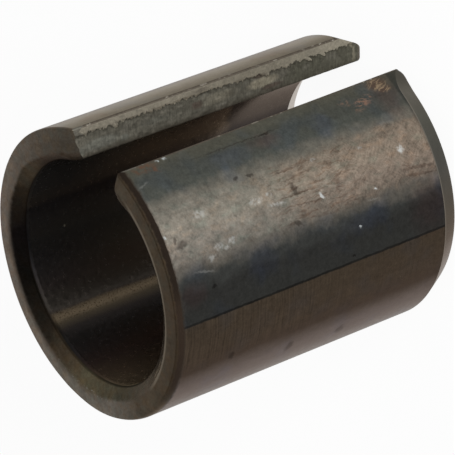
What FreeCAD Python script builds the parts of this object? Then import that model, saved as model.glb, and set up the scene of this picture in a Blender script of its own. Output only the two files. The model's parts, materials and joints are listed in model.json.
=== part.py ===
import FreeCAD, Part
import math
import os

# Clamping bushing: a strip of spring steel, blanked and rolled into a sleeve with an open slot.
# Millimetres.  The bore runs along Z and its middle is the origin.  The slot opens towards -Y.
# The sleeve stands on the end that is pressed in first, so its lead-in chamfer is at the bottom.

# The rolled sleeve, in its free state
bore_diameter = 36.0
strip_thickness = 5.25
sleeve_length = 55.0

# The slot between the two lips of the strip, narrower at the bore
slot_width_outside = 12.5
slot_width_bore = 10.6

# Lead-in chamfer, turned on the outside of the bottom end
lead_in_depth = 1.9
lead_in_length = 3.6

# Bevel round the mouth of the bore at the top end
top_bevel_depth = 2.1
top_bevel_length = 1.3

# Steep bevel at the bottom end, cut off centre, so it is deep on the +X side and at the back and
# runs out towards the lips
bottom_bevel_depth = 0.75
bottom_bevel_length = 1.5
bottom_bevel_offset_x = 0.5
bottom_bevel_offset_y = 0.4

# Soft outer edge that blanking leaves at the top end
top_edge_depth = 0.6
top_edge_length = 1.1

# The lip on the +X side was rolled out of line: both its ends lie lower than the rest of the sleeve.
# The run-out starts level with the side of the bore, this far inside it.
top_runout = 1.1
bottom_runout = 1.6
runout_start_inside_bore = 0.5

# Rounded corners of the blank at the outside of the wall, and at the bore, where the top corner of
# the +X lip is worn round and that of the -X lip is still sharp
corner_radius_outside = 0.8
corner_radius_bore = 1.3
worn_corner_radius_bore = 2.2
sharp_corner_radius = 0.5

# How far a cutter reaches past the metal
cutter_margin = 3.0

bore_radius = bore_diameter / 2
outer_radius = bore_radius + strip_thickness
top = sleeve_length / 2
bottom = -sleeve_length / 2
half_slot_outside = slot_width_outside / 2
half_slot_bore = slot_width_bore / 2
runout_start = bore_radius - runout_start_inside_bore
above = top + cutter_margin
below = bottom - bottom_runout - cutter_margin
clear_radius = outer_radius + cutter_margin


def point(x, y, z):
    return FreeCAD.Vector(x, y, z)


def closed_wire(points):
    """Straight-sided closed outline through the points."""
    return Part.makePolygon(points + points[:1])


def turned(outline, axis_x=0.0, axis_y=0.0):
    """Solid turned about an upright axis from (radius, height) corners."""
    corners = [point(axis_x + radius, axis_y, height) for radius, height in outline]
    face = Part.Face(closed_wire(corners))
    return face.revolve(point(axis_x, axis_y, 0), point(0, 0, 1), 360)


def wall_ring():
    """The bare wall, long enough at the bottom for the lip that runs out of line."""
    foot = bottom - bottom_runout
    return turned([(bore_radius, foot), (outer_radius, foot), (outer_radius, top), (bore_radius, top)])


def end_trim(end, runout, beyond):
    """What lies past one end of the sleeve.

    The end is flat, except that towards the slot on the +X side it sinks along an arc that starts
    tangent to the flat end and has sunk by the run-out when it reaches the lip.
    """
    lip = half_slot_outside
    reach = runout_start - lip
    arc_radius = (reach ** 2 + runout ** 2) / (2 * runout)
    half_turn = math.asin(reach / arc_radius) / 2
    start = point(runout_start, 0, end)
    middle = point(runout_start - arc_radius * math.sin(half_turn), 0,
                   end - arc_radius * (1 - math.cos(half_turn)))
    sunk = point(lip, 0, end - runout)
    outline = [
        Part.LineSegment(point(clear_radius, 0, end), start).toShape(),
        Part.Arc(start, middle, sunk).toShape(),
        Part.LineSegment(sunk, point(0, 0, end - runout)).toShape(),
        Part.LineSegment(point(0, 0, end - runout), point(0, 0, end)).toShape(),
        Part.LineSegment(point(0, 0, end), point(-clear_radius, 0, end)).toShape(),
        Part.LineSegment(point(-clear_radius, 0, end), point(-clear_radius, 0, beyond)).toShape(),
        Part.LineSegment(point(-clear_radius, 0, beyond), point(clear_radius, 0, beyond)).toShape(),
        Part.LineSegment(point(clear_radius, 0, beyond), point(clear_radius, 0, end)).toShape(),
    ]
    slot_side = Part.Face(Part.Wire(outline)).extrude(point(0, -clear_radius, 0))
    low, high = min(end, beyond), max(end, beyond)
    far_side = Part.makeBox(2 * clear_radius, clear_radius, high - low, point(-clear_radius, 0, low))
    return slot_side.fuse(far_side)


def lead_in():
    """What turning takes off outside the bottom end: all that lies outside one cone."""
    slope = lead_in_depth / lead_in_length
    start = bottom + lead_in_length
    radius_below = outer_radius - slope * (start - below)
    return turned([
        (outer_radius, start),
        (radius_below, below),
        (clear_radius, below),
        (clear_radius, start),
    ])


def top_bevel():
    """Cone that opens the mouth of the bore at the top end."""
    slope = top_bevel_depth / top_bevel_length
    return turned([
        (0, top - top_bevel_length),
        (bore_radius, top - top_bevel_length),
        (bore_radius + top_bevel_depth + slope * cutter_margin, above),
        (0, above),
    ])


def bottom_bevel():
    """Off-centre cone at the bottom, with a straight shank so that the low lip keeps its thickness."""
    mouth = bore_radius + bottom_bevel_depth
    slope = bottom_bevel_depth / bottom_bevel_length
    return turned([
        (0, below),
        (mouth, below),
        (mouth, bottom),
        (mouth - slope * cutter_margin, bottom + cutter_margin),
        (0, bottom + cutter_margin),
    ], bottom_bevel_offset_x, bottom_bevel_offset_y)


def top_edge():
    """Ring that takes the sharp outer edge off the top end."""
    slope = top_edge_depth / top_edge_length
    return turned([
        (outer_radius, top - top_edge_length),
        (clear_radius, top - top_edge_length),
        (clear_radius, above),
        (outer_radius - top_edge_depth - slope * cutter_margin, above),
    ])


def slot_corner(side, half_width, end, inward, radius):
    """Quarter arc at one corner of the blank, from the lip's face out to the end of the sleeve."""
    centre_x = side * (half_width + radius)
    centre_z = end + inward * radius
    diagonal = radius * math.sqrt(0.5)
    return [
        point(side * half_width, 0, centre_z),
        point(centre_x - side * diagonal, 0, centre_z - inward * diagonal),
        point(centre_x, 0, end),
    ]


def slot_outline(y, half_width, radius, worn_radius, sharp_radius):
    """Closed outline of the slot in the plane at y, flared where the blank's corners are rounded."""
    low_top = top - top_runout
    low_bottom = bottom - bottom_runout
    right_top = slot_corner(1, half_width, low_top, -1, worn_radius)
    left_top = slot_corner(-1, half_width, top, -1, sharp_radius)
    left_bottom = slot_corner(-1, half_width, bottom, 1, radius)
    right_bottom = slot_corner(1, half_width, low_bottom, 1, radius)
    ring = [
        right_top,
        [right_top[2], point(right_top[2].x, 0, above)],
        [point(right_top[2].x, 0, above), point(left_top[2].x, 0, above)],
        [point(left_top[2].x, 0, above), left_top[2]],
        left_top[::-1],
        [left_top[0], left_bottom[0]],
        left_bottom,
        [left_bottom[2], point(left_bottom[2].x, 0, below)],
        [point(left_bottom[2].x, 0, below), point(right_bottom[2].x, 0, below)],
        [point(right_bottom[2].x, 0, below), right_bottom[2]],
        right_bottom[::-1],
        [right_bottom[0], right_top[0]],
    ]
    edges = []
    for piece in ring:
        placed = [point(corner.x, y, corner.z) for corner in piece]
        curve = Part.Arc(*placed) if len(placed) == 3 else Part.LineSegment(*placed)
        edges.append(curve.toShape())
    return Part.Wire(edges)


def slot():
    """The slot, drawn at the outside and at the bore and carried on straight past both."""
    y_outside = -math.sqrt(outer_radius ** 2 - half_slot_outside ** 2)
    y_bore = -math.sqrt(bore_radius ** 2 - half_slot_bore ** 2)
    depth = y_bore - y_outside

    def carried_on(value_outside, value_bore, y):
        return value_outside + (value_bore - value_outside) * (y - y_outside) / depth

    outlines = []
    for y in (-clear_radius, y_bore + strip_thickness):
        half_width = carried_on(half_slot_outside, half_slot_bore, y)
        radius = carried_on(corner_radius_outside, corner_radius_bore, y)
        worn_radius = carried_on(corner_radius_outside, worn_corner_radius_bore, y)
        outlines.append(slot_outline(y, half_width, radius, worn_radius, sharp_corner_radius))
    return Part.makeLoft(outlines, True, True)


def bushing():
    """The finished sleeve, one piece of steel."""
    sleeve = wall_ring()
    sleeve = sleeve.cut(end_trim(top, top_runout, above))
    sleeve = sleeve.cut(end_trim(bottom, bottom_runout, below))
    for cutter in (lead_in(), top_edge(), top_bevel(), bottom_bevel(), slot()):
        sleeve = sleeve.cut(cutter)
    return sleeve.Solids[0]


os.makedirs("parts", exist_ok=True)
sleeve = bushing()
sleeve.exportStep("parts/split_sleeve.step")
print("volume mm3", round(sleeve.Volume, 1), "faces", len(sleeve.Faces), "valid", sleeve.isValid())
print("box", sleeve.optimalBoundingBox())
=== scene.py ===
import json
import math

import bpy
import numpy as np
from mathutils import Matrix, Vector

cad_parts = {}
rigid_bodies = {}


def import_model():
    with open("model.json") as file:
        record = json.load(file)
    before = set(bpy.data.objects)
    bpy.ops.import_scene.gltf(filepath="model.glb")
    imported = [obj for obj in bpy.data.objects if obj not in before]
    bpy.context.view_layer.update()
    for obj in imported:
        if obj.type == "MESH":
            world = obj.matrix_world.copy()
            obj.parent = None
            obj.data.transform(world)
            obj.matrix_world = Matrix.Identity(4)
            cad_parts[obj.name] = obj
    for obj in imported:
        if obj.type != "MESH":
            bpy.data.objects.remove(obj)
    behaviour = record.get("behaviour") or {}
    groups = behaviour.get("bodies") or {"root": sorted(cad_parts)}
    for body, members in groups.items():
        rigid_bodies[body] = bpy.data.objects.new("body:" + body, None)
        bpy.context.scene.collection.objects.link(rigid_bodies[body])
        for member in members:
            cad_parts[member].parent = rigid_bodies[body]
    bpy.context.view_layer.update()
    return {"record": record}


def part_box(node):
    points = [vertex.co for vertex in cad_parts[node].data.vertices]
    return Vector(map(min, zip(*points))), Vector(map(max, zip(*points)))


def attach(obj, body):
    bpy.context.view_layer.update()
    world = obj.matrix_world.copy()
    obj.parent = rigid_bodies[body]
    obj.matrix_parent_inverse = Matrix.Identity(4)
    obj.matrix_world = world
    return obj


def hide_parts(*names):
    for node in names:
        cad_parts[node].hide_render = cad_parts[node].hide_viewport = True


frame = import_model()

mm = 0.001


# The camera looks down at the slot side of the sleeve, and is rolled so that the sleeve lies across
# the picture with its mouth at the left.
camera_aim = Vector((-0.2, 0.8, 0.7)) * mm
camera_distance = 557.9 * mm
camera_azimuth = math.radians(-48.97)
camera_elevation = math.radians(31.77)
camera_roll = math.radians(-110.8)

camera = bpy.data.objects.new("camera", bpy.data.cameras.new("camera"))
camera.data.sensor_width = 36.0
camera.data.lens = 284.5
camera.data.clip_start = 0.01
facing = (Matrix.Rotation(camera_azimuth, 4, "Z")
          @ Matrix.Rotation(math.pi / 2 - camera_elevation, 4, "X")
          @ Matrix.Rotation(camera_roll, 4, "Z"))
camera.matrix_world = (Matrix.Translation(camera_aim) @ facing
                       @ Matrix.Translation((0, 0, camera_distance)))
bpy.context.scene.collection.objects.link(camera)
bpy.context.scene.camera = camera
bpy.context.scene.view_settings.view_transform = "Standard"


# The sleeve: a strip of spring steel, sheared to length and width, rolled round until an open slot
# is left, hardened, and ground and chamfered at its ends. The oxide of the heat treatment is still
# on it, rubbed thin along the side, and its colours hold painted highlights, reflections and shade.
low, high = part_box("split_sleeve")
bore_mount = next(m for m in frame["record"]["mounts"] if m["name"] == "bore")
outer_radius = high.x
bore_radius = bore_mount["dims"]["r_mm"] * mm
wall = outer_radius - bore_radius
top = high.z
bottom = -high.z
length = top - bottom

# The slot, and the +X lip, whose two ends run out of line
half_slot_bore = 5.2 * mm
half_slot_outside = 6.25 * mm
slot_twist = 0.3 * mm
top_runout = 1.1 * mm
bottom_runout = 1.6 * mm
runout_start = bore_radius - 0.5 * mm

# Chamfer of the bottom end. It is shallower next to the -X lip, and its crease with the flat is
# rounder next to the +X lip
lead_in_depth = 1.9 * mm
lead_in_length = 3.6 * mm
lip_flare = 0.95 * mm
lip_flare_length = 4.0 * mm
lead_in_crease = 0.45 * mm
worn_lead_in_crease = 0.9 * mm

# Bevel of the mouth. It is shallower towards the -X lip, and turns into one round next to it
top_bevel_depth = 2.1 * mm
top_bevel_length = 1.3 * mm
shallower_bevel = 0.25 * mm
shallower_bevel_length = 16.0 * mm
fading_bevel = 0.95 * mm
fading_bevel_length = 6.5 * mm
tip_round_width = 3.0 * mm
tip_round_drop = 1.6 * mm
bevel_crease = 0.12 * mm

# Off-centre bevel inside the bottom end. Below the flat it goes on as a nearly upright shank, and
# next to the +X lip it is worn away
bottom_bevel_depth = 0.75 * mm
bottom_bevel_length = 1.5 * mm
bottom_bevel_offset_x = 0.5 * mm
bottom_bevel_offset_y = 0.4 * mm
shank_slope = 6.0
low_lip_reach = 5.0 * mm
low_lip_bevel_loss = 0.6 * mm
low_lip_edge_round = 0.35 * mm

# Soft outer edge of the top end, less deep from the +X lip round to the back
top_edge_depth = 0.6 * mm
top_edge_length = 1.1 * mm
sharper_edge_share = 0.5
sharper_edge_end = math.radians(190)
sharper_edge_change = math.radians(40)

# Corners of the blank, edges of the lips and of the bore, and how uneven the top end's cuts are
corner_radius_outside = 0.8 * mm
corner_radius_bore = 1.3 * mm
worn_corner_radius_bore = 2.2 * mm
sharp_corner_radius = 0.5 * mm
lip_edge_round = 0.3 * mm
lip_edge_drop = 0.35 * mm
bore_edge_round = 0.15 * mm
bevel_waver = 0.08 * mm
soft_edge_waver = 0.12

# Sheared faces of the lips: a smooth band next to the outside, and a torn and pitted face that lies
# lower. The band is wider towards the bottom end. It has teeth, as heights and spacings, and
# tongues: height on the sleeve, how far down the wall, and width. Pits are depths and spacings
smooth_band_width = 1.2 * mm
smooth_band_width_low = 1.6 * mm
band_widens_below = -4.0 * mm
band_widens_over = 5.0 * mm
fine_teeth = (0.24 * mm, 0.8 * mm)
broad_teeth = (0.12 * mm, 2.3 * mm)
tongues = [(18.9, 0.65, 0.45), (12.0, 0.2, 0.7), (-10.6, 0.55, 0.6), (-19.4, 0.75, 0.5),
           (-22.4, 0.5, 0.35), (-14.8, 0.2, 0.6)]
torn_face_depth = 0.09 * mm
torn_step_width = 0.2 * mm
coarse_pits = (0.05 * mm, 0.9 * mm)
fine_pits = (0.04 * mm, 0.4 * mm)

# Seeds of the random lines and pits: one for each lip, and one for the top end
low_lip_seed = 11
other_lip_seed = 51
top_end_seed = 21


def spaced(total, fine_from_ends, step):
    """Places from 0 to 1 over a total width: the given fine distances at both ends, and even steps
    between them."""
    fine = np.array(fine_from_ends)
    middle = np.linspace(fine[-1], total - fine[-1], int(round((total - 2 * fine[-1]) / step)) + 1)
    return np.concatenate([fine[:-1], middle, total - fine[-2::-1]]) / total


def ragged(places, spacing, seed):
    """Smooth random line: random heights from -1 to 1 at even spacings, joined by smooth steps."""
    count = 4096
    heights = np.random.default_rng(seed).uniform(-1, 1, count)
    cell = np.floor(places / spacing).astype(int)
    part = places / spacing - cell
    part = part * part * (3 - 2 * part)
    return heights[cell % count] * (1 - part) + heights[(cell + 1) % count] * part


def pitted(across, along, spacing, seed):
    """Smooth random field: random heights on a square lattice, joined by smooth steps both ways."""
    count = 512
    heights = np.random.default_rng(seed).uniform(-1, 1, (count, count))
    i, j = np.floor(across / spacing).astype(int), np.floor(along / spacing).astype(int)
    a, b = across / spacing - i, along / spacing - j
    a, b = a * a * (3 - 2 * a), b * b * (3 - 2 * b)
    i, j = i % (count - 1), j % (count - 1)
    return ((heights[i, j] * (1 - a) + heights[i + 1, j] * a) * (1 - b)
            + (heights[i, j + 1] * (1 - a) + heights[i + 1, j + 1] * a) * b)


def lower_of(first, second, blend):
    """The lower of two heights, with the crease between them rounded over the blend height."""
    share = np.clip(0.5 + 0.5 * (second - first) / blend, 0, 1)
    return second + (first - second) * share - blend * share * (1 - share)


def rounded_off(distance, width, height):
    """Quarter ellipse: nothing at the width from an edge, and the height at the edge itself."""
    return height * (1 - np.sqrt(1 - np.clip(1 - distance / width, 0, 1) ** 2))


def band_border(along, seed):
    """Depth at which a lip's smooth band ends: the wall, less a width that grows towards the bottom
    end, less uneven teeth from two random lines, less a steep-sided tongue at each given height."""
    upward = along + bottom
    lower_down = np.clip((band_widens_below - upward) / band_widens_over, 0, 1)
    width = smooth_band_width + (smooth_band_width_low - smooth_band_width) * lower_down
    teeth = (fine_teeth[0] * np.abs(ragged(along, fine_teeth[1], seed))
             + broad_teeth[0] * ragged(along, broad_teeth[1], seed + 4))
    drop = sum(reach * mm * np.exp(-((upward - height * mm) / (breadth * mm)) ** 4)
               for height, reach, breadth in tongues)
    return wall - width - teeth - drop


def lip_face(depth, along, seed):
    """How far a lip's cut face stands from the slot's middle plane: the slot's taper, with a slight
    twist along the sleeve, plus the rounded edges at the bore and outside, plus the step down from
    the smooth band to the torn face and its pits."""
    outside = half_slot_outside + slot_twist * (2 * along / length - 1)
    taper = half_slot_bore + (outside - half_slot_bore) * depth / wall
    edges = (rounded_off(wall - depth, lip_edge_round, lip_edge_drop)
             + rounded_off(depth, lip_edge_round, lip_edge_drop))
    torn = np.clip((band_border(along, seed) - depth) / torn_step_width + 0.5, 0, 1)
    lattice_along = along + 2 * length
    pits = (coarse_pits[0] * pitted(depth, lattice_along, coarse_pits[1], seed + 2)
            + fine_pits[0] * pitted(depth, lattice_along, fine_pits[1], seed + 3))
    return taper + edges + torn * (torn_face_depth + pits)


def along_low_lip(height_place):
    """Height over the flat bottom end on the +X lip, whose two ends lie lower than the -X lip's."""
    return height_place * (length - top_runout + bottom_runout) - bottom_runout


def sleeve_points(round_place, depth_place, height_place):
    """Points and angles of the rolled block. The first place goes round from the +X lip to the -X
    lip, the second from the bore to the outside, the third from the bottom end to the top end, each
    from 0 to 1. The angle is shared out between the two lip faces, and the height between the two
    ends, which are heights over the plan: flat, less the run-out arc, the bevels, the chamfer and
    the round corners."""
    depth = depth_place * wall
    radius = bore_radius + depth
    start = np.arcsin(lip_face(depth, along_low_lip(height_place), low_lip_seed) / radius)
    end = 2 * math.pi - np.arcsin(lip_face(depth, height_place * length, other_lip_seed) / radius)
    angle = start + (end - start) * round_place
    x, y = radius * np.sin(angle), -radius * np.cos(angle)
    girth = angle * outer_radius

    slot_side = y < 0
    half_slot = half_slot_bore + (half_slot_outside - half_slot_bore) * depth / wall
    from_lip = np.clip(np.where(slot_side, np.abs(x) - half_slot, length), 0, None)

    def next_to_lip(side, reach):
        """Share from 1 at one lip to 0 at a reach from it: side is 1 for +X and -1 for -X."""
        return np.where(side * x > 0, np.clip(1 - from_lip / reach, 0, 1), 0)

    def sunk(runout):
        """How far an end has sunk below its flat part: an arc that starts tangent to it."""
        reach = runout_start - half_slot_outside
        arc = (reach ** 2 + runout ** 2) / (2 * runout)
        fall = arc - np.sqrt(arc ** 2 - np.clip(runout_start - x, 0, reach) ** 2)
        return np.where(slot_side & (x > 0), fall, 0)

    def corner_drop(at_bore):
        """How far the rounded corner of the blank takes the end back next to the lip."""
        corner = at_bore + (corner_radius_outside - at_bore) * depth / wall
        return rounded_off(from_lip, corner, corner)

    waver = ragged(girth, 6 * mm, top_end_seed) + 0.5 * ragged(girth, 1.7 * mm, top_end_seed + 1)
    near_tip = next_to_lip(-1, fading_bevel_length) ** 2
    slope = top_bevel_length / top_bevel_depth
    cone = (top - top_bevel_length + (depth + bevel_waver * waver) * slope
            + shallower_bevel * next_to_lip(-1, shallower_bevel_length) + fading_bevel * near_tip)
    corner_at_bore = np.where(x > 0, worn_corner_radius_bore, sharp_corner_radius)
    flat = top - sunk(top_runout) - corner_drop(corner_at_bore)
    upper = lower_of(flat, cone, bevel_crease)
    past_back = np.clip((angle - sharper_edge_end) / sharper_edge_change, 0, 1)
    softness = sharper_edge_share + (1 - sharper_edge_share) * past_back
    softness = softness * (1 + soft_edge_waver * waver)
    upper = upper - rounded_off(wall - depth, top_edge_depth * softness,
                                top_edge_length * softness)
    upper = upper - rounded_off(depth, bore_edge_round + tip_round_width * near_tip,
                                bore_edge_round + tip_round_drop * near_tip)

    flare = lip_flare * next_to_lip(-1, lip_flare_length) ** 2
    slope = lead_in_length / lead_in_depth
    lead = bottom + lead_in_length - (wall - depth + flare) * slope
    near_low_lip = next_to_lip(1, low_lip_reach)
    inside_mouth = (bore_radius + bottom_bevel_depth - low_lip_bevel_loss * near_low_lip
                    - np.hypot(x - bottom_bevel_offset_x, y - bottom_bevel_offset_y))
    slope = np.where(inside_mouth > 0, bottom_bevel_length / bottom_bevel_depth, shank_slope)
    bevel = bottom + inside_mouth * slope
    flat = bottom - sunk(bottom_runout) + corner_drop(corner_radius_bore)
    lower = -lower_of(-flat, -bevel, bevel_crease)
    lower = -lower_of(-lower, -lead, lead_in_crease + worn_lead_in_crease * near_low_lip)
    edge = bore_edge_round + low_lip_edge_round * near_low_lip
    lower = lower + rounded_off(depth, edge, edge)
    lower = np.clip(lower, low.z, None)

    z = lower + (upper - lower) * height_place
    return np.stack([x, y, z], axis=-1), angle


# Grid of the block: its length round the middle of the wall, its thickness and its height, each
# with fine steps next to its edges and even ones between
block_girth = 117.0 * mm
round_places = spaced(block_girth, np.array([0, 0.02, 0.06, 0.12, 0.2, 0.3, 0.42, 0.56, 0.72, 0.9,
                                             1.1, 1.35, 1.65, 2.0, 2.5, 3.1, 3.9]) * mm, 0.85 * mm)
depth_places = spaced(wall, np.array([0, 0.012, 0.04, 0.08, 0.13, 0.19, 0.26, 0.34, 0.44,
                                      0.56, 0.7]) * mm, 0.14 * mm)
height_places = spaced(length, np.array([0, 0.06, 0.16, 0.32]) * mm, 0.3 * mm)
grid = (len(round_places), len(depth_places), len(height_places))


def block_face(axis, at_end, turned_over):
    """Quads over one face of the block, as grid numbers of their corners, seen from outside."""
    across, up = [a for a in range(3) if a != axis]
    i, j = np.meshgrid(np.arange(grid[across]), np.arange(grid[up]), indexing="ij")
    index = np.zeros(i.shape + (3,), int)
    index[..., across], index[..., up] = i, j
    index[..., axis] = grid[axis] - 1 if at_end else 0
    quads = np.stack([index[:-1, :-1], index[1:, :-1], index[1:, 1:], index[:-1, 1:]], axis=2)
    quads = quads.reshape(-1, 4, 3)
    return quads[:, ::-1] if turned_over else quads


faces = [
    block_face(1, True, False),
    block_face(1, False, True),
    block_face(2, True, True),
    block_face(2, False, False),
    block_face(0, False, False),
    block_face(0, True, True),
]
finish_of_face = [0, 1, 2, 3, 4, 4]     # outside, bore, top end, bottom end, both lips
quads = np.concatenate(faces)
keys = (quads[..., 0] * grid[1] + quads[..., 1]) * grid[2] + quads[..., 2]
corner_keys, vertex_of = np.unique(keys, return_inverse=True)
vertex_of = vertex_of.reshape(keys.shape)
in_round, rest = np.divmod(corner_keys, grid[1] * grid[2])
in_depth, in_height = np.divmod(rest, grid[2])
points, angles = sleeve_points(round_places[in_round], depth_places[in_depth],
                               height_places[in_height])

sleeve_mesh = bpy.data.meshes.new("split_sleeve_skin")
sleeve_mesh.from_pydata(points.tolist(), [], vertex_of.tolist())
sleeve_mesh.polygons.foreach_set("use_smooth", np.ones(len(quads), bool))
sleeve_mesh.polygons.foreach_set("material_index",
                                 np.repeat(finish_of_face, [len(face) for face in faces]))

# UV map "strip": turn round from the slot's middle towards -X, and height in lengths, on the
# outside and in the bore; turn and depth on the ends; depth and height on the lips
turns = 1 - angles / (2 * math.pi)
heights = (points[:, 2] - bottom) / length
depths = (np.hypot(points[:, 0], points[:, 1]) - bore_radius) / wall
walls, ends = len(faces[0]) + len(faces[1]), len(faces[2]) + len(faces[3])
uv = np.empty(vertex_of.shape + (2,))
uv[..., 0], uv[..., 1] = turns[vertex_of], heights[vertex_of]
uv[walls:walls + ends, :, 1] = depths[vertex_of[walls:walls + ends]]
uv[walls + ends:, :, 0] = depths[vertex_of[walls + ends:]]
sleeve_mesh.uv_layers.new(name="strip").data.foreach_set("uv", uv.ravel())

# Attribute "below_band": how far a point lies on the bore side of its lip's smooth band, in mm
border = np.where(in_round == 0,
                  band_border(along_low_lip(height_places[in_height]), low_lip_seed),
                  band_border(height_places[in_height] * length, other_lip_seed))
below_band = sleeve_mesh.attributes.new("below_band", "FLOAT", "POINT")
below_band.data.foreach_set("value", (border - depth_places[in_depth] * wall) / mm)
sleeve_mesh.update()


class Wire:
    """A socket's value in a node tree. Arithmetic on it adds Math nodes."""

    def __init__(self, finish, socket):
        self.finish, self.socket = finish, socket

    def math(self, operation, first, second=0.0):
        return self.finish.node("ShaderNodeMath", {"operation": operation}, {0: first, 1: second})

    def __add__(self, other):
        return self.math("ADD", self, other)

    def __sub__(self, other):
        return self.math("SUBTRACT", self, other)

    def __mul__(self, other):
        return self.math("MULTIPLY", self, other)

    def __truediv__(self, other):
        return self.math("DIVIDE", self, other)

    def __radd__(self, other):
        return self.math("ADD", other, self)

    def __rsub__(self, other):
        return self.math("SUBTRACT", other, self)

    def __rmul__(self, other):
        return self.math("MULTIPLY", other, self)

    def __rtruediv__(self, other):
        return self.math("DIVIDE", other, self)

    def __abs__(self):
        return self.math("ABSOLUTE", self)


class Finish:
    """A material's nodes, each added by node(). Places and sizes are in millimetres."""

    def __init__(self, name):
        self.material = bpy.data.materials.new(name)
        self.material.use_nodes = True
        self.tree = self.material.node_tree
        self.tree.nodes.clear()

    def node(self, kind, settings=None, sockets=None, output=0):
        """Adds a node: its settings first, then the values or links of its sockets."""
        made = self.tree.nodes.new(kind)
        for name, value in (settings or {}).items():
            if name == "stops":
                ramp = made.color_ramp
                while len(ramp.elements) < len(value):
                    ramp.elements.new(1.0)
                for element, (place, colour) in zip(ramp.elements, value):
                    element.position, element.color = place, (*colour, 1.0)
            else:
                setattr(made, name, value)
        for name, value in (sockets or {}).items():
            if isinstance(value, Wire):
                self.tree.links.new(value.socket, made.inputs[name])
            else:
                made.inputs[name].default_value = value
        return Wire(self, made.outputs[output]) if len(made.outputs) else None

    def objects(self):
        """Place on the object."""
        place = self.node("ShaderNodeTexCoord", output=3)
        return self.node("ShaderNodeVectorMath", {"operation": "SCALE"},
                         {0: place, "Scale": 1 / mm})

    def strip(self):
        """The two parts of the strip map."""
        uv = self.node("ShaderNodeUVMap", {"uv_map": "strip"})
        return (self.node("ShaderNodeSeparateXYZ", {}, {0: uv}, 0),
                self.node("ShaderNodeSeparateXYZ", {}, {0: uv}, 1))

    def flat_place(self, across, along):
        """Place on the unrolled surface."""
        return self.node("ShaderNodeCombineXYZ", {}, {0: across, 1: along})

    def stretched(self, place, size, turn=0.0, at=(0.0, 0.0)):
        """Place seen from a point, turned by degrees and measured in the two given sizes."""
        return self.node("ShaderNodeMapping", {"vector_type": "TEXTURE"},
                         {"Vector": place, "Location": (*at, 0.0), "Scale": (*size, 1.0),
                          "Rotation": (0.0, 0.0, math.radians(turn))})

    def noise(self, place, size, detail=3.0, roughness=0.55, output=0):
        """Noise from 0 to 1 with blots about as wide as the size."""
        return self.node("ShaderNodeTexNoise", {"noise_dimensions": "3D"},
                         {"Vector": place, "Scale": 1 / size, "Detail": detail,
                          "Roughness": roughness}, output)

    def streaks(self, place, length, width, turn=0.0, detail=2.0):
        """Noise drawn out to a length, along a direction in degrees from the first axis."""
        return self.noise(self.stretched(place, (length, width), turn), 1.0, detail)

    def warped(self, place, size, amount):
        """Place pushed about by noise, by up to about the amount."""
        push = self.node("ShaderNodeVectorMath", {"operation": "SUBTRACT"},
                         {0: self.noise(place, size, 2.0, 0.5, 1), 1: (0.5, 0.5, 0.5)})
        return self.node("ShaderNodeVectorMath", {"operation": "MULTIPLY_ADD"},
                         {0: push, 1: (3 * amount, 3 * amount, 3 * amount), 2: place})

    def larger(self, first, second):
        """The larger of two values."""
        return first.math("MAXIMUM", first, second)

    def step(self, value, begin, end):
        """Smooth step from 0 where the value is begin to 1 where it is end."""
        return self.node("ShaderNodeMapRange", {"interpolation_type": "SMOOTHSTEP"},
                         {"Value": value, "From Min": begin, "From Max": end})

    def spots(self, place, marks, soft=0.6):
        """1 inside any of some ellipses, each a centre, two half sizes and a turn in degrees."""
        inside = 0.0
        for across, along, half_width, half_height, turn in marks:
            seen = self.stretched(place, (half_width, half_height), turn, (across, along))
            distance = self.node("ShaderNodeVectorMath", {"operation": "LENGTH"}, {0: seen}, 1)
            inside = self.larger(self.step(distance, 1 + soft / 2, 1 - soft / 2), inside)
        return inside

    def mix(self, share, under, over, blend="MIX"):
        """Colour over another by a share."""
        under = (*under, 1.0) if isinstance(under, tuple) else under
        over = (*over, 1.0) if isinstance(over, tuple) else over
        return self.node("ShaderNodeMix", {"data_type": "RGBA", "blend_type": blend,
                                           "clamp_factor": True}, {0: share, 6: under, 7: over}, 2)

    def tinted(self, share, colour, tint):
        """Colour multiplied by a tint, by a share."""
        return self.mix(share, colour, tint, "MULTIPLY")

    def brighter(self, colour, factor):
        """Colour multiplied by a number."""
        return self.node("ShaderNodeVectorMath", {"operation": "SCALE"},
                         {0: colour, "Scale": factor})

    def grade(self, value, stops):
        """Colour ramp over a value. Each stop is a value and its colour, and the ramp's ends are at
        the first and last stops."""
        first, last = stops[0][0], stops[-1][0]
        shares = [((place - first) / (last - first), colour) for place, colour in stops]
        return self.node("ShaderNodeValToRGB", {"stops": shares},
                         {0: (value - first) / (last - first)})

    def done(self, colour, roughness, metallic, bump, bump_depth):
        """Steel surface, warm at a glancing angle, with a bump of the given depth."""
        normal = self.node("ShaderNodeBump", {}, {"Height": bump, "Distance": bump_depth * mm,
                                                  "Strength": 1.0})
        surface = self.node("ShaderNodeBsdfPrincipled", {}, {
            "Base Color": colour, "Roughness": roughness, "Metallic": metallic, "Normal": normal,
            "Specular IOR Level": 0.1, "Specular Tint": (0.72, 0.66, 0.62, 1.0)})
        self.node("ShaderNodeOutputMaterial", {}, {"Surface": surface})
        return self.material


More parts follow.
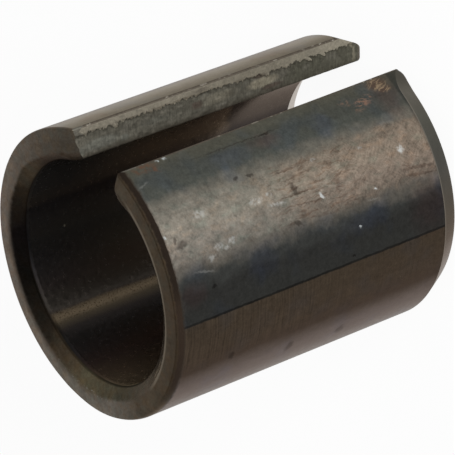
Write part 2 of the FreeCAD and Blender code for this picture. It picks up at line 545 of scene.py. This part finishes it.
# Marks on the outside, each one's degrees round from the slot, height, width, length along the
# sleeve and tilt: first soft tints of the oxide, then rust and scrapes, stains and scratches
blue_tints = [(26, 9.5, 3.2, 7.5, 0), (27, -8, 3.6, 3.4, 0), (68, 11, 4.6, 5.0, 0),
              (67, -9, 3.6, 8.0, 0)]
plum_tints = [(71, -21.5, 7.0, 7.0, 0), (70, 24, 3.5, 4.0, 0), (25, 2.6, 2.4, 5.0, 0),
              (23, -21, 8, 4, 0)]
dull_patches = [(335, -12.5, 5.0, 8.0, 20), (338, 21, 3.0, 4.0, 0)]
rust_spots = [(24.3, -16.6, 1.9, 3.8, -20), (21.5, -13.6, 1.2, 2.0, 25),
              (22.5, -18.2, 0.9, 1.2, 0)]
scrapes = [(18.6, -20.9, 2.0, 3.2, 0), (21.8, -21.6, 1.1, 2.0, 0)]
bronze_spots = [(18.5, 23.4, 1.5, 4.2, 0), (20.5, 21.7, 1.0, 1.6, 30)]
dark_stains = [(35.0, 10.5, 0.7, 1.0, 0), (35.6, 8.1, 0.5, 1.5, 10), (46.6, 2.0, 2.0, 0.9, 0),
               (58.6, 3.2, 0.7, 1.5, 25), (50.9, 23.7, 1.1, 2.3, -10), (48.8, 24.6, 1.2, 0.6, 20),
               (69.4, 20.1, 0.6, 0.8, 0), (78.6, -5.9, 0.5, 0.7, 0), (22.4, 2.0, 0.35, 2.2, 0),
               (116.0, -5.8, 2.0, 1.6, 0), (113.0, 4.6, 2.4, 1.4, 0), (103.0, 16.8, 1.6, 1.0, 0)]
scored_lines = [(54.8, -20.6, 0.5, 5.6, 8), (57.6, -21.0, 0.4, 5.6, 8), (53.0, -18.6, 0.3, 1.6, 20),
                (38.6, 2.0, 0.35, 5.0, 0), (41.8, 0.6, 0.3, 5.6, -4), (48.2, 1.8, 0.35, 4.6, 0),
                (52.8, 0.4, 0.3, 4.8, 4), (22.0, 7.0, 0.25, 16.0, 0)]
scale_flecks = [(46.3, -18.6, 1.2, 1.2, 0), (52.2, -2.2, 0.45, 1.1, 50), (56.8, -12.0, 0.5, 0.6, 0),
                (68.5, -7.7, 0.4, 0.4, 0), (46.3, 26.0, 0.5, 0.5, 0), (17.3, 19.3, 0.5, 0.9, 0),
                (17.6, 20.6, 0.3, 0.5, 0)]
pale_smears = [(42.7, 19.0, 1.1, 2.4, 0), (45.6, 9.0, 1.0, 2.4, 0), (44.8, 6.6, 0.5, 1.2, 0),
               (49.2, 5.8, 0.6, 3.0, 8), (56.2, 17.8, 1.0, 1.6, 0), (55.6, 15.2, 1.0, 1.4, 0),
               (59.3, 19.4, 1.0, 1.4, 0), (57.6, 16.4, 0.7, 0.9, 0), (38.6, -3.2, 0.5, 1.0, 0),
               (40.6, -11.9, 0.6, 0.8, 0)]
bright_scratches = [(63.0, 21.2, 0.35, 3.0, 14), (60.4, -11.0, 0.25, 2.2, 3),
                    (25.2, 25.2, 0.3, 2.0, -17)]

# Degrees round from the slot at which a new tint of the oxide, and the painted reflection bands,
# begin along a straight line
tint_and_reflection_edge = 81.5


def outside_finish():
    """Oxide skin of the rolled outside: bands along the sleeve that are partly heat tints and
    partly painted highlights, reflections and shade, one of them a painted highlight band that is
    also rubbed to a light taupe and full of fine scratches, and all the marks above."""
    finish = Finish("oxide_skin")
    turn, height = finish.strip()
    degrees = turn * 360
    upward = (height - 0.5) * (length / mm)
    per_degree = 2 * math.pi * outer_radius / mm / 360
    place = finish.flat_place(degrees * per_degree, upward)
    rubbed = finish.warped(place, 0.7, 0.3)

    def marked(where, marks, soft):
        """1 inside any of the marks."""
        return finish.spots(where, [(around * per_degree, up, across / 2, along / 2, tilt)
                                    for around, up, across, along, tilt in marks], soft)

    # The bands round the sleeve, with wavy and ragged borders. They are partly heat tints and
    # partly
    # painted light: a painted highlight band at about 33 to 62 degrees, and a painted dark
    # reflection band from there to the sharp line
    wave = finish.noise(finish.stretched(place, (3.0, 7.0)), 1.0, 2.0)
    short = finish.noise(finish.stretched(place, (1.8, 1.3)), 1.0, 4.0)
    around = degrees + (wave - 0.5) * 7 + (short - 0.5) * 5
    front = finish.grade(around, [
        (10, (0.078, 0.072, 0.054)),
        (19, (0.062, 0.061, 0.048)),
        (24, (0.051, 0.053, 0.045)),
        (30, (0.057, 0.060, 0.052)),
        (34, (0.112, 0.104, 0.086)),
        (39, (0.154, 0.137, 0.112)),
        (45, (0.176, 0.155, 0.126)),
        (51, (0.158, 0.139, 0.116)),
        (57, (0.120, 0.106, 0.089)),
        (61, (0.078, 0.071, 0.060)),
        (65, (0.032, 0.033, 0.031)),
        (70, (0.0215, 0.0216, 0.0202)),
        (81, (0.0235, 0.0240, 0.0222)),
    ])
    steadier = degrees + (wave - 0.5) * 4 + (short - 0.5) * 3
    # Behind the sharp line: painted glancing reflections at about 105 to 130 and 325 to 346
    # degrees, and oxide tints round the back
    rest = finish.grade(steadier, [
        (80, (0.041, 0.0305, 0.0210)),
        (96, (0.042, 0.0300, 0.0205)),
        (103.5, (0.037, 0.0250, 0.0180)),
        (105.5, (0.052, 0.0385, 0.0310)),
        (112, (0.093, 0.0740, 0.0670)),
        (120, (0.110, 0.0880, 0.0800)),
        (126, (0.112, 0.0915, 0.0840)),
        (132, (0.081, 0.0650, 0.0570)),
        (150, (0.110, 0.0910, 0.0790)),
        (180, (0.075, 0.063, 0.052)),
        (215, (0.110, 0.095, 0.080)),
        (250, (0.070, 0.060, 0.048)),
        (290, (0.115, 0.102, 0.086)),
        (325, (0.070, 0.062, 0.051)),
        (329, (0.215, 0.198, 0.165)),
        (333, (0.250, 0.236, 0.190)),
        (338, (0.186, 0.170, 0.128)),
        (342, (0.132, 0.121, 0.088)),
        (346, (0.092, 0.082, 0.058)),
    ])
    behind = finish.step(degrees, tint_and_reflection_edge - 0.3, tint_and_reflection_edge + 0.3)
    tone = finish.mix(behind, front, rest)
    # Mask of the painted highlight band, which is also rubbed and full of fine scratches
    highlight_and_wear_band = finish.step(around, 33, 38) * finish.step(around, 62, 57)

    # Tints of the oxide
    cool = finish.noise(place, 7.0, 2.0)
    cold = finish.step(cool, 0.48, 0.7) * (1 - highlight_and_wear_band) * 0.6
    tone = finish.tinted(cold, tone, (0.90, 1.0, 1.22))
    tone = finish.tinted(highlight_and_wear_band, tone, finish.grade(upward + (cool - 0.5) * 24, [
        (-26, (1.06, 0.95, 0.90)), (-4, (1.05, 0.97, 0.93)), (10, (0.98, 1.01, 1.02)),
        (27, (1.00, 1.01, 1.03))]))
    blotch = finish.noise(finish.stretched(place, (1.6, 3.0)), 1.0, 4.0, 0.6)
    cooler = finish.step(blotch, 0.5, 0.68) * highlight_and_wear_band
    tone = finish.tinted(cooler * 0.8, tone, (0.84, 0.94, 0.94))
    warmer = finish.step(blotch, 0.48, 0.34) * highlight_and_wear_band
    tone = finish.tinted(warmer * 0.8, tone, (1.11, 1.03, 0.97))
    blue = marked(finish.warped(place, 3.0, 1.2), blue_tints, 1.2)
    tone = finish.tinted(blue * 0.6, tone, (0.92, 1.0, 1.30))
    plum = marked(finish.warped(place, 2.0, 0.8), plum_tints, 1.2)
    tone = finish.tinted(plum * 0.8, tone, (1.12, 0.86, 0.86))
    dull = marked(finish.warped(place, 2.0, 1.0), dull_patches, 1.2)
    tone = finish.tinted(dull * 0.7, tone, (0.80, 0.70, 0.62))

    # Scratches, the grain of the scale and the lines of the grinding wheel
    fine = finish.noise(place, 0.9, 4.0, 0.6)
    speck = finish.noise(place, 0.35, 2.0, 0.6)
    smudge = finish.stretched(finish.warped(place, 3.0, 1.0), (1.3, 3.2))
    smudge = finish.noise(smudge, 1.0, 4.0, 0.6)
    bent = finish.warped(place, 4.0, 0.9)
    hatch = finish.streaks(bent, 2.2, 0.24, 48) + finish.streaks(bent, 1.8, 0.22, 131)
    drawn = finish.streaks(finish.warped(place, 2.5, 0.5), 0.42, 3.2)
    arcs = finish.streaks(finish.warped(place, 6.0, 0.3), 9.0, 0.3)
    hatched = highlight_and_wear_band * (0.35 + 0.65 * finish.step(upward, 8, -10))
    grained = highlight_and_wear_band * finish.step(abs(upward + 1.5), 11, 5)
    ground = behind * finish.step(degrees, 108, 96) * (0.4 + 0.6 * finish.step(upward, -4, 6))
    tone = finish.brighter(tone, 1.04 + (fine - 0.5) * 0.7 + (speck - 0.5) * 0.6
                           + (highlight_and_wear_band * 0.5 + 0.55) * (smudge - 0.5)
                           + hatched * (hatch - 1.0) * 0.8 + ground * (arcs - 0.5) * 1.3)
    tone = finish.tinted(grained * finish.step(drawn, 0.5, 0.36), tone, (0.76, 0.69, 0.66))

    # Rust and golden scrapes near the lip
    crumbs = finish.noise(finish.stretched(bent, (0.5, 1.1)), 1.0, 4.0, 0.65)
    rust = marked(rubbed, rust_spots, 1.0) * finish.step(crumbs, 0.42, 0.62)
    tone = finish.mix(rust * 0.6, tone, (0.140, 0.070, 0.042))
    scraped = marked(rubbed, scrapes, 0.9)
    golden = scraped * finish.step(finish.streaks(rubbed, 0.3, 2.6, -28), 0.44, 0.6)
    tone = finish.mix(scraped * 0.45, tone, (0.085, 0.048, 0.030))
    tone = finish.mix(golden * 0.8, tone, (0.250, 0.185, 0.118))
    bronze = marked(rubbed, bronze_spots, 1.2)
    bronze = bronze * finish.step(finish.noise(place, 1.0, 3.0), 0.38, 0.6)
    tone = finish.mix(bronze * 0.6, tone, (0.115, 0.052, 0.028))

    # Dark stains and scored lines
    stains = marked(rubbed, dark_stains, 0.9)
    tone = finish.tinted(stains * 0.85, tone, (0.38, 0.36, 0.36))
    scored = marked(rubbed, scored_lines, 0.8)
    tone = finish.tinted(scored * 0.5, tone, (0.45, 0.36, 0.33))

    # Pale flecks of scale, smears and bright scratches
    flecks = marked(rubbed, scale_flecks, 0.9) * finish.step(fine, 0.3, 0.5)
    smears = marked(rubbed, pale_smears, 1.0)
    smears = smears * finish.step(finish.noise(place, 0.55, 3.0), 0.36, 0.58)
    pale = finish.larger(smears * 0.3, flecks * 0.7)
    tone = finish.mix(pale, tone, (0.300, 0.320, 0.320))
    scratches = marked(rubbed, bright_scratches, 1.2)
    tone = finish.mix(scratches * 0.22, tone, (0.260, 0.260, 0.245))

    # The thin dark line where the next tint and the painted reflection bands begin, and the darker
    # strips next to both ends
    line = finish.step(abs(degrees - (tint_and_reflection_edge - 0.4) + (short - 0.5) * 1.2), 0.7, 0.3)
    tone = finish.mix(line * (0.35 + finish.noise(place, 4.0) * 0.6), tone, (0.004, 0.0035, 0.003))
    near_end = finish.step(upward + (fine - 0.5) * 1.0, 25.7, 26.6) * finish.step(degrees, 134, 110)
    tone = finish.mix(near_end * 0.95, tone, (0.012, 0.008, 0.005))
    far_end = finish.step(upward, -23.2, -23.8) * finish.step(degrees, 60, 30)
    tone = finish.mix(far_end * 0.5, tone, (0.014, 0.015, 0.015))

    bare = finish.larger(rust, pale)
    roughness = 0.34 + (fine - 0.5) * 0.25 + bare * 0.25 + near_end * 0.5
    metallic = 0.92 - bare * 0.6 - near_end * 0.85
    bump = (fine * 0.4 + speck * 0.3 + hatched * hatch * 0.35 + ground * arcs * 0.5
            - stains * 0.4 + pale * 0.3)
    return finish.done(tone, roughness, metallic, bump, 0.022)


def bore_finish():
    """The bore: the same oxide, darker and glossier, with golden streaks along it. Its tone round
    the bore holds painted light and shade, with painted shade on the +X side towards its top and
    deep down, and along the edge of its mouth.
    """
    finish = Finish("bore_oxide")
    turn, height = finish.strip()
    degrees = turn * 360
    upward = (height - 0.5) * (length / mm)
    per_degree = 2 * math.pi * bore_radius / mm / 360
    place = finish.flat_place(degrees * per_degree, upward)
    wave = finish.noise(finish.stretched(place, (3.0, 12.0)), 1.0, 2.0)
    around = degrees + (wave - 0.5) * 3
    # Tone round the bore, partly oxide and partly painted light and shade, with a golden streak at
    # about 211 to 219 degrees
    tone = finish.grade(around, [
        (20, (0.110, 0.086, 0.060)),
        (140, (0.520, 0.420, 0.270)),
        (160, (0.430, 0.325, 0.215)),
        (174, (0.215, 0.155, 0.110)),
        (183, (0.110, 0.078, 0.067)),
        (192, (0.060, 0.052, 0.052)),
        (200, (0.036, 0.034, 0.034)),
        (207, (0.023, 0.0195, 0.0180)),
        (211.5, (0.045, 0.036, 0.0245)),
        (214.3, (0.112, 0.086, 0.056)),
        (216.6, (0.104, 0.080, 0.052)),
        (217.6, (0.050, 0.040, 0.033)),
        (218.8, (0.076, 0.067, 0.058)),
        (225, (0.076, 0.067, 0.059)),
        (232, (0.064, 0.054, 0.052)),
        (242, (0.045, 0.043, 0.045)),
        (254, (0.023, 0.024, 0.028)),
        (260, (0.026, 0.026, 0.029)),
        (266, (0.037, 0.037, 0.040)),
        (274, (0.042, 0.039, 0.040)),
        (284, (0.240, 0.184, 0.132)),
        (300, (0.310, 0.240, 0.170)),
        (345, (0.200, 0.155, 0.110)),
    ])
    # Painted shade deep down on the +X side
    far = finish.step(upward + (finish.noise(place, 3.0, 3.0) - 0.5) * 5, -10.5, -13.0)
    tone = finish.tinted(far * finish.step(degrees, 270, 276), tone, (0.32, 0.34, 0.40))
    # Painted shade towards the top on the +X side
    near = finish.step(upward, 2, 21) * finish.step(degrees, 270, 286)
    tone = finish.tinted(near * 0.95, tone, (0.29, 0.36, 0.48))
    fine = finish.noise(place, 0.8, 4.0, 0.65)
    tone = finish.brighter(tone, 1.0 + (fine - 0.5) * 0.7)
    golden = finish.step(degrees, 210, 213) * finish.step(degrees, 219, 217)
    dots = finish.step(finish.noise(place, 0.3, 3.0, 0.7), 0.54, 0.64) * golden * 0.9
    tone = finish.tinted(dots, tone, (0.28, 0.23, 0.20))
    # Painted shade along the edge of the mouth
    mouth = finish.step(upward, 25.3, 26.0) * (1 - 0.5 * finish.step(degrees, 232, 250))
    tone = finish.tinted(mouth * 0.8, tone, (0.25, 0.25, 0.25))
    fleck = finish.spots(place, [(257.5 * per_degree, 19.0, 0.22, 0.18, 0)], 0.5)
    tone = finish.mix(fleck * 0.4, tone, (0.30, 0.32, 0.32))
    roughness = 0.24 + (fine - 0.5) * 0.25 + dots * 0.1 + mouth * 0.4
    return finish.done(tone, roughness, 0.92, finish.noise(place, 1.2, 1.0), 0.006)


def top_end_finish():
    """The top end: a ground flat, the bevel of the mouth inside it, and the soft dark edge outside
    it.
    The bevel's light and shade are painted round it, with a painted highlight along its crease with
    the flat and painted shade along its edge at the bore."""
    finish = Finish("top_end_skin")
    turn, across = finish.strip()
    degrees = turn * 360
    depth = across * (wall / mm)
    place = finish.objects()
    fine = finish.noise(place, 0.8, 4.0, 0.65)
    speck = finish.noise(place, 0.35, 2.0, 0.6)
    broad = finish.noise(place, 4.0, 3.0, 0.5)
    flat = finish.grade(degrees + (broad - 0.5) * 20, [
        (0, (0.090, 0.070, 0.048)),
        (20, (0.098, 0.078, 0.055)),
        (32, (0.085, 0.067, 0.048)),
        (46, (0.080, 0.064, 0.045)),
        (75, (0.076, 0.058, 0.041)),
        (130, (0.088, 0.068, 0.047)),
        (158, (0.178, 0.156, 0.130)),
        (180, (0.188, 0.166, 0.136)),
        (240, (0.204, 0.167, 0.138)),
        (290, (0.182, 0.150, 0.122)),
        (312, (0.138, 0.115, 0.093)),
        (330, (0.104, 0.088, 0.069)),
        (338, (0.086, 0.073, 0.057)),
        (345, (0.078, 0.066, 0.051)),
    ])
    # The bevel's tone round the mouth is oxide and its painted light and shade: near black at about
    # 212 to 262 degrees, and lighter at about 66 to 112 degrees
    bevel = finish.grade(degrees + (broad - 0.5) * 24, [
        (0, (0.062, 0.048, 0.034)),
        (30, (0.050, 0.040, 0.028)),
        (60, (0.084, 0.067, 0.049)),
        (66, (0.170, 0.138, 0.102)),
        (77, (0.170, 0.138, 0.102)),
        (82, (0.102, 0.080, 0.059)),
        (92, (0.150, 0.120, 0.088)),
        (102, (0.210, 0.175, 0.130)),
        (112, (0.190, 0.158, 0.115)),
        (124, (0.088, 0.072, 0.052)),
        (150, (0.062, 0.056, 0.039)),
        (180, (0.116, 0.095, 0.058)),
        (196, (0.068, 0.051, 0.033)),
        (212, (0.023, 0.0180, 0.0132)),
        (235, (0.0075, 0.0062, 0.005)),
        (262, (0.0065, 0.005, 0.005)),
        (284, (0.024, 0.018, 0.012)),
        (298, (0.064, 0.050, 0.034)),
        (318, (0.032, 0.022, 0.016)),
        (345, (0.050, 0.038, 0.028)),
    ])
    wider = finish.step(degrees, 150, 180) * finish.step(degrees, 290, 262)
    narrower = finish.step(degrees, 296, 322)
    border = depth + (fine - 0.5) * 0.3 - wider * 0.65 + narrower * 0.8
    border = 2.05 + (border - 2.05) / (1 + wider * 1.8)
    inside = finish.step(border, 2.35, 1.75)
    outward = 0.18 - 0.18 * finish.step(degrees, 130, 158)
    flat = finish.tinted(finish.step(depth, 3.0, 4.3) * outward, flat, (0.5, 0.47, 0.44))
    inward = finish.step(depth, 3.8, 3.0) * finish.step(degrees, 150, 170)
    flat = finish.tinted(inward * 0.3, flat, (0.5, 0.5, 0.5))
    # Painted light and shade over the bevel: darker next to the bore and lighter outside it from
    # about 300 degrees on, and darker, then lighter, across it at about 98 to 118 degrees
    dark_inside = finish.step(depth, 1.1, 0.1) * narrower
    bevel = finish.tinted(dark_inside * 0.7, bevel, (0.3, 0.3, 0.3))
    bevel = finish.tinted(finish.step(depth, 0.3, 1.0) * narrower, bevel, (1.4, 1.4, 1.4))
    split = finish.step(degrees, 98, 104) * finish.step(degrees, 118, 112)
    bevel = finish.tinted(finish.step(depth, 0.95, 0.55) * split, bevel, (0.55, 0.55, 0.55))
    bevel = finish.tinted(finish.step(depth, 0.85, 1.2) * split, bevel, (1.9, 1.9, 1.9))
    tone = finish.mix(inside, flat, bevel)
    mottle = finish.noise(place, 1.6, 3.0, 0.6)
    tone = finish.tinted(finish.step(mottle, 0.5, 0.62) * 0.8, tone, (0.88, 0.96, 0.98))
    tone = finish.tinted(finish.step(mottle, 0.5, 0.38) * 0.8, tone, (1.11, 1.04, 0.94))
    grain = (fine - 0.5) * 1.0 + (speck - 0.5) * 0.8 + (broad - 0.5) * 0.5
    tone = finish.brighter(tone, 1.0 + grain)
    # Painted highlight along the bevel's crease with the flat
    crease = finish.step(abs(depth - 2.15), 0.35, 0.15) * finish.step(degrees, 126, 112)
    crease = crease * finish.step(degrees, 22, 34)
    tone = finish.mix(crease * 0.45, tone, (0.300, 0.262, 0.205))
    # Painted shade along the edge at the bore
    painted_rim_shade = finish.step(depth, 0.35, 0.1) * (1 - 0.6 * finish.step(degrees, 232, 250))
    tone = finish.tinted(painted_rim_shade * 0.8, tone, (0.25, 0.25, 0.25))
    sparks = finish.step(finish.noise(place, 0.5, 2.0), 0.62, 0.7)
    sparks = sparks * finish.step(abs(depth - 2.4), 0.5, 0.2)
    sparks = sparks * finish.step(degrees, 150, 165) * finish.step(degrees, 205, 190)
    tone = finish.mix(sparks * 0.8, tone, (0.42, 0.42, 0.40))
    crest = finish.step(depth, 4.55, 4.8) * finish.step(degrees, 126, 108)
    tone = finish.tinted(crest * 0.8, tone, (0.5, 0.46, 0.42))
    soft = finish.step(depth + (fine - 0.5) * 0.4, 4.82, 5.12) * finish.step(degrees, 128, 104)
    tone = finish.mix(soft * 0.97, tone, finish.mix(
        finish.step(degrees, 64, 76), (0.007, 0.0045, 0.003), (0.014, 0.009, 0.006)))
    roughness = 0.46 + (fine - 0.5) * 0.2 - inside * 0.2 + soft * 0.4 + painted_rim_shade * 0.3
    return finish.done(tone, roughness, 0.95 - soft * 0.88, fine * 0.5 + speck * 0.5, 0.02)


def bottom_end_finish():
    """The bottom end: the turned chamfer, plain grey and brightest on its ridge, and the bevel
    inside, which is bare bright metal on the +X side."""
    finish = Finish("bottom_end_skin")
    turn, across = finish.strip()
    degrees = turn * 360
    depth = across * (wall / mm)
    place = finish.objects()
    fine = finish.noise(place, 0.8, 4.0, 0.6)
    broad = finish.noise(place, 5.0, 3.0, 0.5)
    tone = finish.grade(degrees, [
        (0, (0.060, 0.058, 0.048)),
        (19, (0.058, 0.057, 0.047)),
        (25, (0.096, 0.093, 0.078)),
        (40, (0.065, 0.067, 0.056)),
        (58, (0.058, 0.060, 0.054)),
        (74, (0.061, 0.055, 0.043)),
        (88, (0.082, 0.064, 0.048)),
        (96, (0.172, 0.145, 0.126)),
        (104, (0.232, 0.210, 0.192)),
        (200, (0.110, 0.095, 0.080)),
        (345, (0.100, 0.090, 0.072)),
    ])
    tone = finish.brighter(tone, 1.0 + (fine - 0.5) * 0.35 + (broad - 0.5) * 0.4)
    ridge = finish.step(depth, 5.02, 5.18) * finish.step(degrees, 20, 34)
    tone = finish.mix(ridge * 0.5, tone, (0.200, 0.180, 0.150))
    mouth = finish.step(degrees, 262, 276) * finish.step(degrees, 322, 308)
    mouth = mouth * finish.step(depth, 1.5, 1.2)
    tone = finish.mix(mouth, tone, (0.620, 0.590, 0.550))
    return finish.done(tone, 0.42 + (fine - 0.5) * 0.15, 0.92, fine, 0.012)


# Patches on the torn face, each one's depth in the wall, height, half sizes and turn
light_patches = [(2.2, -9.2, 0.8, 2.7, 0), (1.7, 21.5, 0.9, 3.2, 0), (1.2, 17.2, 0.5, 0.8, 0),
                 (1.2, 25.0, 0.9, 0.35, 0), (1.7, -27.2, 1.3, 0.3, 0), (3.3, -26.6, 0.9, 0.25, 35)]
half_light_patches = [(1.7, -27.2, 1.3, 0.3, 0)]
faint_patches = [(2.3, 0.2, 0.9, 3.4, 0), (2.1, 10.5, 0.5, 3.6, 0)]
brown_patches = [(2.2, 3.4, 0.6, 1.0, 0), (1.1, -11.0, 0.35, 2.0, 0), (3.45, -8.8, 0.36, 1.3, 0),
                 (4.4, 2.4, 0.3, 1.3, 0)]


def lip_finish():
    """A lip's sheared face: the smooth band, dull at its top end, the torn face with a darker edge
    along the band, and a few bright burrs where the band meets the outside."""
    finish = Finish("sheared_skin")
    across, height = finish.strip()
    depth = across * (wall / mm)
    upward = (height - 0.5) * (length / mm)
    place = finish.flat_place(depth, upward)
    rubbed = finish.warped(place, 0.6, 0.25)
    below_band = finish.node("ShaderNodeAttribute", {"attribute_name": "below_band"}, {}, 2)
    fine = finish.noise(place, 0.7, 4.0, 0.6)
    speck = finish.noise(place, 0.3, 2.0, 0.6)
    broad = finish.noise(place, 3.0, 3.0, 0.55)
    pulled = finish.streaks(place, 1.6, 0.35)
    teeth = finish.streaks(place, 2.2, 0.7, 0, 2.0) + finish.noise(place, 0.45, 3.0) * 0.5
    edge = below_band + (teeth - 0.75) * 1.6
    torn = finish.step(edge, -0.06, 0.1)
    smooth = finish.mix(finish.step(upward, -4, 6), (0.255, 0.232, 0.183), (0.280, 0.254, 0.202))
    tone = finish.mix(torn, smooth, (0.098, 0.092, 0.074))
    tone = finish.mix(torn * finish.step(upward, -12, -16), tone, (0.080, 0.077, 0.059))
    tone = finish.mix(torn * finish.step(broad, 0.5, 0.66) * 0.5, tone, (0.135, 0.126, 0.105))
    light = finish.spots(rubbed, light_patches, 0.8)
    dim = finish.spots(rubbed, half_light_patches, 0.8)
    faint = finish.spots(rubbed, faint_patches, 1.0)
    cleaner = finish.mix(finish.step(upward, -4, 12), (0.235, 0.212, 0.160), (0.125, 0.124, 0.105))
    tone = finish.mix(torn * (light * 0.85 - dim * 0.4 + faint * 0.4), tone, cleaner)
    brown = finish.spots(rubbed, brown_patches, 0.9)
    tone = finish.mix(brown * (0.35 + torn * 0.4), tone, (0.070, 0.052, 0.042))
    shade = torn * finish.step(edge, 0.55, 0.1)
    tone = finish.tinted(shade * 0.5, tone, (0.45, 0.43, 0.40))
    edge_line = finish.step(depth + (fine - 0.5) * 0.1, 4.92, 5.02)
    tone = finish.mix(edge_line, tone, (0.078, 0.066, 0.052))
    burrs = finish.step(finish.noise(finish.stretched(place, (0.5, 1.4)), 1.0, 3.0), 0.56, 0.66)
    burrs = burrs * finish.step(depth, 5.02, 5.1)
    near_ends = 0.4 + 0.6 * finish.step(abs(upward - 1.0), 16, 20)
    tone = finish.mix(burrs * near_ends * 0.8, tone, (0.420, 0.390, 0.330))
    root = finish.step(depth + (fine - 0.5) * 0.5, 1.1, 0.3)
    root = root * (0.6 - 0.3 * finish.step(upward, -12, -16))
    tone = finish.tinted(root, tone, (0.45, 0.41, 0.38))
    nose = upward + (fine - 0.5) * 0.8 + abs(depth - 4.5) * 1.2
    cap = finish.step(nose, 24.9, 25.5) * (1 - torn)
    tone = finish.mix(cap * 0.85, tone, (0.105, 0.100, 0.084))
    grain = (fine - 0.5) * 0.7 + (speck - 0.5) * 0.6
    grain = grain + torn * (pulled - 0.5) + (1 - torn) * (broad - 0.5) * 0.5
    tone = finish.brighter(tone, 1.0 + grain)
    roughness = 0.5 + torn * 0.12 + (fine - 0.5) * 0.2
    bump = fine * 0.3 + speck * 0.2 + torn * (pulled * 0.8 + broad * 0.5) - torn * 0.6
    return finish.done(tone, roughness, 0.9, bump, 0.05)


# In the order of the numbers in finish_of_face
for make in (outside_finish, bore_finish, top_end_finish, bottom_end_finish, lip_finish):
    sleeve_mesh.materials.append(make())

sleeve = bpy.data.objects.new("split_sleeve_skin", sleeve_mesh)
bpy.context.scene.collection.objects.link(sleeve)
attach(sleeve, "root")
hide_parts("split_sleeve")


# The floor: a plain white sheet of paper that the sleeve stands on. It keeps a faint shadow, and is
# nearly white to the camera and where the steel mirrors it.
floor_size = 1.6
white_share = 0.93
floor_mesh = bpy.data.meshes.new("floor")
half = floor_size / 2
floor_mesh.from_pydata([(-half, -half, low.z), (half, -half, low.z), (half, half, low.z),
                        (-half, half, low.z)], [], [(0, 1, 2, 3)])
floor = bpy.data.objects.new("floor", floor_mesh)
bpy.context.scene.collection.objects.link(floor)

paper = Finish("white_paper")
diffuse = paper.node("ShaderNodeBsdfDiffuse", {}, {"Color": (0.82, 0.82, 0.82, 1.0)})
white = paper.node("ShaderNodeEmission", {}, {"Color": (1.0, 1.0, 1.0, 1.0), "Strength": 1.0})
seen = paper.node("ShaderNodeLightPath", {}, {}, 0)
mirrored = paper.node("ShaderNodeLightPath", {}, {}, 3)
through = paper.node("ShaderNodeLightPath", {}, {}, 6)
shown = (seen + mirrored + through) * white_share
paper.node("ShaderNodeOutputMaterial", {}, {
    "Surface": paper.node("ShaderNodeMixShader", {}, {0: shown, 1: diffuse, 2: white})})
floor_mesh.materials.append(paper.material)


# Light: a plain white room all round the sleeve, which the steel mirrors, and one soft lamp, low on
# the camera's side.
world = bpy.data.worlds.new("studio")
bpy.context.scene.world = world
world.use_nodes = True
world.node_tree.nodes["Background"].inputs["Color"].default_value = (1.0, 1.0, 1.0, 1.0)
world.node_tree.nodes["Background"].inputs["Strength"].default_value = 0.6


def soft_lamp(name, azimuth, elevation, distance, width, height, power):
    """Area lamp turned towards the sleeve's middle, placed by azimuth from -Y towards +X."""
    lamp = bpy.data.lights.new(name, "AREA")
    lamp.shape, lamp.size, lamp.size_y, lamp.energy = "RECTANGLE", width, height, power
    placed = bpy.data.objects.new(name, lamp)
    placed.matrix_world = (Matrix.Rotation(math.radians(azimuth), 4, "Z")
                           @ Matrix.Rotation(math.pi / 2 - math.radians(elevation), 4, "X")
                           @ Matrix.Translation((0, 0, distance)))
    bpy.context.scene.collection.objects.link(placed)


soft_lamp("key_lamp", azimuth=-48, elevation=12, distance=0.6, width=0.25, height=0.35, power=6.0)
